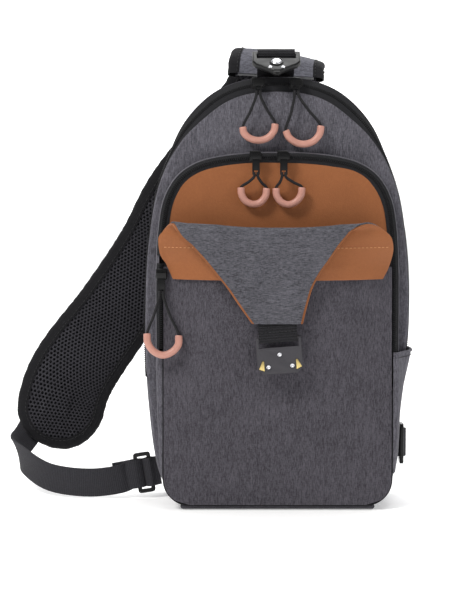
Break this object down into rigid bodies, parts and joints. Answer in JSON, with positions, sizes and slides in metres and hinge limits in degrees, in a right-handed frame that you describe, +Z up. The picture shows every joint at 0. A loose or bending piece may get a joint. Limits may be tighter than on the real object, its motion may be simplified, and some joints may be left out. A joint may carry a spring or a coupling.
{
  "type": "sling bag",
  "caption": "One-strap sling bag: arched zipped compartments, front stash pocket under a folding flap with a magnetic tongue, and a padded strap.",
  "frame": {"origin": "middle of the flat underside of the base panel, where the bag stands", "axes": "+X to the right of the front, +Y to the back (the wearer's side), +Z up; the front faces -Y"},
  "size_m": [0.3621, 0.1777, 0.3978],
  "materials": {
    "heather_fabric": "woven charcoal heather",
    "black_tape": "black zip tape and binding",
    "tan_leather": "smooth cognac faux leather",
    "spacer_mesh": "black spacer mesh",
    "webbing": "black woven webbing and cord",
    "black_hardware": "glossy black",
    "plate_black": "dark satin",
    "brass": "pale brass",
    "steel": "bright",
    "rose_grip": "dusty rose, soft",
    "foam": "closed cell foam"
  },
  "bodies": {
    "bag": {"side_gusset": "heather_fabric", "back_panel": "spacer_mesh", "back_foam": "foam", "main_front_panel": "heather_fabric", "main_zip": "black_tape", "base_panel": "black_tape", "front_gusset": "heather_fabric", "arch_zip_tape_outer": "black_tape", "arch_zip_tape_inner": "black_tape", "side_zip": "black_tape", "organiser_panel": "tan_leather", "pocket_panel": "heather_fabric", "panel_piping": "black_tape", "flap_band": "tan_leather", "catch_webbing": "webbing", "strap_yoke": "spacer_mesh", "ring_tab_left": "webbing", "ring_tab_right": "webbing", "side_pocket": "heather_fabric", "tablet_sleeve": "foam"},
    "flap": {"flap_shell": "tan_leather", "flap_lining": "heather_fabric", "tongue_webbing": "webbing"},
    "tongue": {"tongue_plate": "plate_black", "plate_rivet_1": "steel", "plate_rivet_2": "steel", "plate_rivet_3": "steel", "plate_arrow_left": "brass", "plate_arrow_right": "brass", "plate_magnet": "steel"},
    "catch": {"catch_body": "black_hardware", "catch_cap": "steel", "catch_magnet": "steel"},
    "strap": {"strap_cover": "heather_fabric", "strap_foam": "foam", "strap_mesh": "spacer_mesh", "strap_binding": "black_tape", "strap_webbing": "webbing"},
    "ring_left": {"ring_left": "black_hardware"},
    "ring_right": {"ring_right": "black_hardware"},
    "slider_main_left": {"main_left_slider": "black_hardware"},
    "pull_main_left": {"main_left_tab": "black_hardware", "main_left_cord": "webbing", "main_left_grip": "rose_grip"},
    "slider_main_right": {"main_right_slider": "black_hardware"},
    "pull_main_right": {"main_right_tab": "black_hardware", "main_right_cord": "webbing", "main_right_grip": "rose_grip"},
    "slider_arch_left": {"arch_left_slider": "black_hardware"},
    "pull_arch_left": {"arch_left_tab": "black_hardware", "arch_left_cord": "webbing", "arch_left_grip": "rose_grip"},
    "slider_arch_right": {"arch_right_slider": "black_hardware"},
    "pull_arch_right": {"arch_right_tab": "black_hardware", "arch_right_cord": "webbing", "arch_right_grip": "rose_grip"},
    "slider_side": {"side_slider": "black_hardware"},
    "pull_side": {"side_tab": "black_hardware", "side_cord": "webbing", "side_grip": "rose_grip"}
  },
  "joints": [
    {"name": "flap_fold", "type": "hinge", "parent": "bag", "child": "flap", "pos_m": [0, -0.064, 0.241], "axis": [-1, 0, 0], "range_deg": [0, 190]},
    {"name": "tongue_pivot", "type": "hinge", "parent": "flap", "child": "tongue", "pos_m": [0, -0.0624, 0.1485], "axis": [-0.9969, 0, -0.0785], "range_deg": [-10, 7]},
    {"name": "catch_pivot", "type": "hinge", "parent": "bag", "child": "catch", "pos_m": [-0.001, -0.006, 0.3867], "axis": [-1, 0, 0], "range_deg": [-24, 35]},
    {"name": "main_left_slide", "type": "slide", "parent": "bag", "child": "slider_main_left", "axis": [-0.9903, 0, -0.1386], "range_m": [0, 0.018]},
    {"name": "main_left_pull", "type": "hinge", "parent": "slider_main_left", "child": "pull_main_left", "pos_m": [-0.0165, -0.0189, 0.3593], "axis": [1, 0, 0], "range_deg": [-95, 0]},
    {"name": "main_right_slide", "type": "slide", "parent": "bag", "child": "slider_main_right", "axis": [0.9903, 0, -0.1386], "range_m": [0, 0.018]},
    {"name": "main_right_pull", "type": "hinge", "parent": "slider_main_right", "child": "pull_main_right", "pos_m": [0.016, -0.0189, 0.3593], "axis": [1, 0, 0], "range_deg": [-95, 0]},
    {"name": "arch_left_slide", "type": "slide", "parent": "bag", "child": "slider_arch_left", "axis": [-0.9992, 0, -0.04], "range_m": [0, 0.028]},
    {"name": "arch_left_pull", "type": "hinge", "parent": "slider_arch_left", "child": "pull_arch_left", "pos_m": [-0.0185, -0.0353, 0.2973], "axis": [1, 0, 0], "range_deg": [-95, 0]},
    {"name": "arch_right_slide", "type": "slide", "parent": "bag", "child": "slider_arch_right", "axis": [0.9992, 0, -0.04], "range_m": [0, 0.028]},
    {"name": "arch_right_pull", "type": "hinge", "parent": "slider_arch_right", "child": "pull_arch_right", "pos_m": [0.005, -0.0353, 0.2973], "axis": [1, 0, 0], "range_deg": [-95, 0]},
    {"name": "side_slide", "type": "slide", "parent": "bag", "child": "slider_side", "axis": [0, -0.0499, -0.9988], "range_m": [0, 0.045]},
    {"name": "side_pull", "type": "hinge", "parent": "slider_side", "child": "pull_side", "pos_m": [-0.0986, -0.042, 0.1968], "axis": [1, 0, 0], "range_deg": [-95, 0]},
    {"name": "strap_swing", "type": "hinge", "parent": "bag", "child": "strap", "pos_m": [-0.122, 0.01, 0.022], "axis": [0.2186, 0.119, 0.9685], "range_deg": [0, 16]},
    {"name": "ring_left_turn", "type": "hinge", "parent": "bag", "child": "ring_left", "pos_m": [-0.1106, 0.01, 0.023], "axis": [-0.1564, 0, 0.9877], "range_deg": [-4, 4]},
    {"name": "ring_right_turn", "type": "hinge", "parent": "bag", "child": "ring_right", "pos_m": [0.1114, 0.031, 0.046], "axis": [0, 0, 1], "range_deg": [0, 110]}
  ]
}
